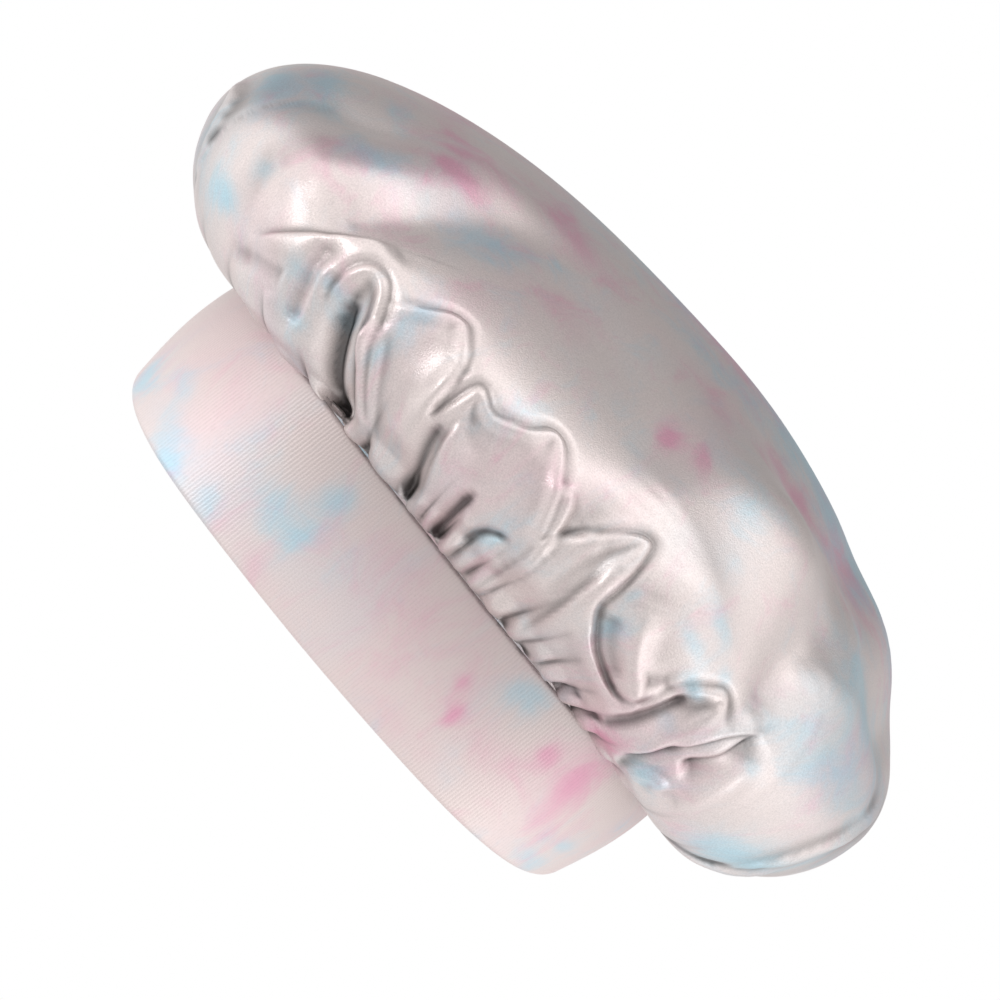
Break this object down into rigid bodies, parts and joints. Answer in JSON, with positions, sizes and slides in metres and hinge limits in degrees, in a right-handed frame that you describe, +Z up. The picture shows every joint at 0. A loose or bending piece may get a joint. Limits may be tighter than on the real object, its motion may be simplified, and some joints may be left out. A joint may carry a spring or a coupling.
{
  "type": "sleep bonnet",
  "caption": "Wide soft satin puff, gathered into a smooth satin band that is worn round the head; tie-dyed in pale pastels.",
  "frame": {"origin": "middle of the head opening, on the plane of the band's rim", "axes": "+Z up out of the crown, -Y to the front, +X to the wearer's left"},
  "size_m": [0.2636, 0.2662, 0.1244],
  "materials": {
    "crown_satin": "polyester satin, shiny face out, tie-dyed in pale pink and blue",
    "band_satin": "satin strip with its dull, faintly ribbed face out, tie-dyed in pale pink and blue"
  },
  "bodies": {
    "root": {"crown": "crown_satin", "band": "band_satin"}
  },
  "joints": []
}
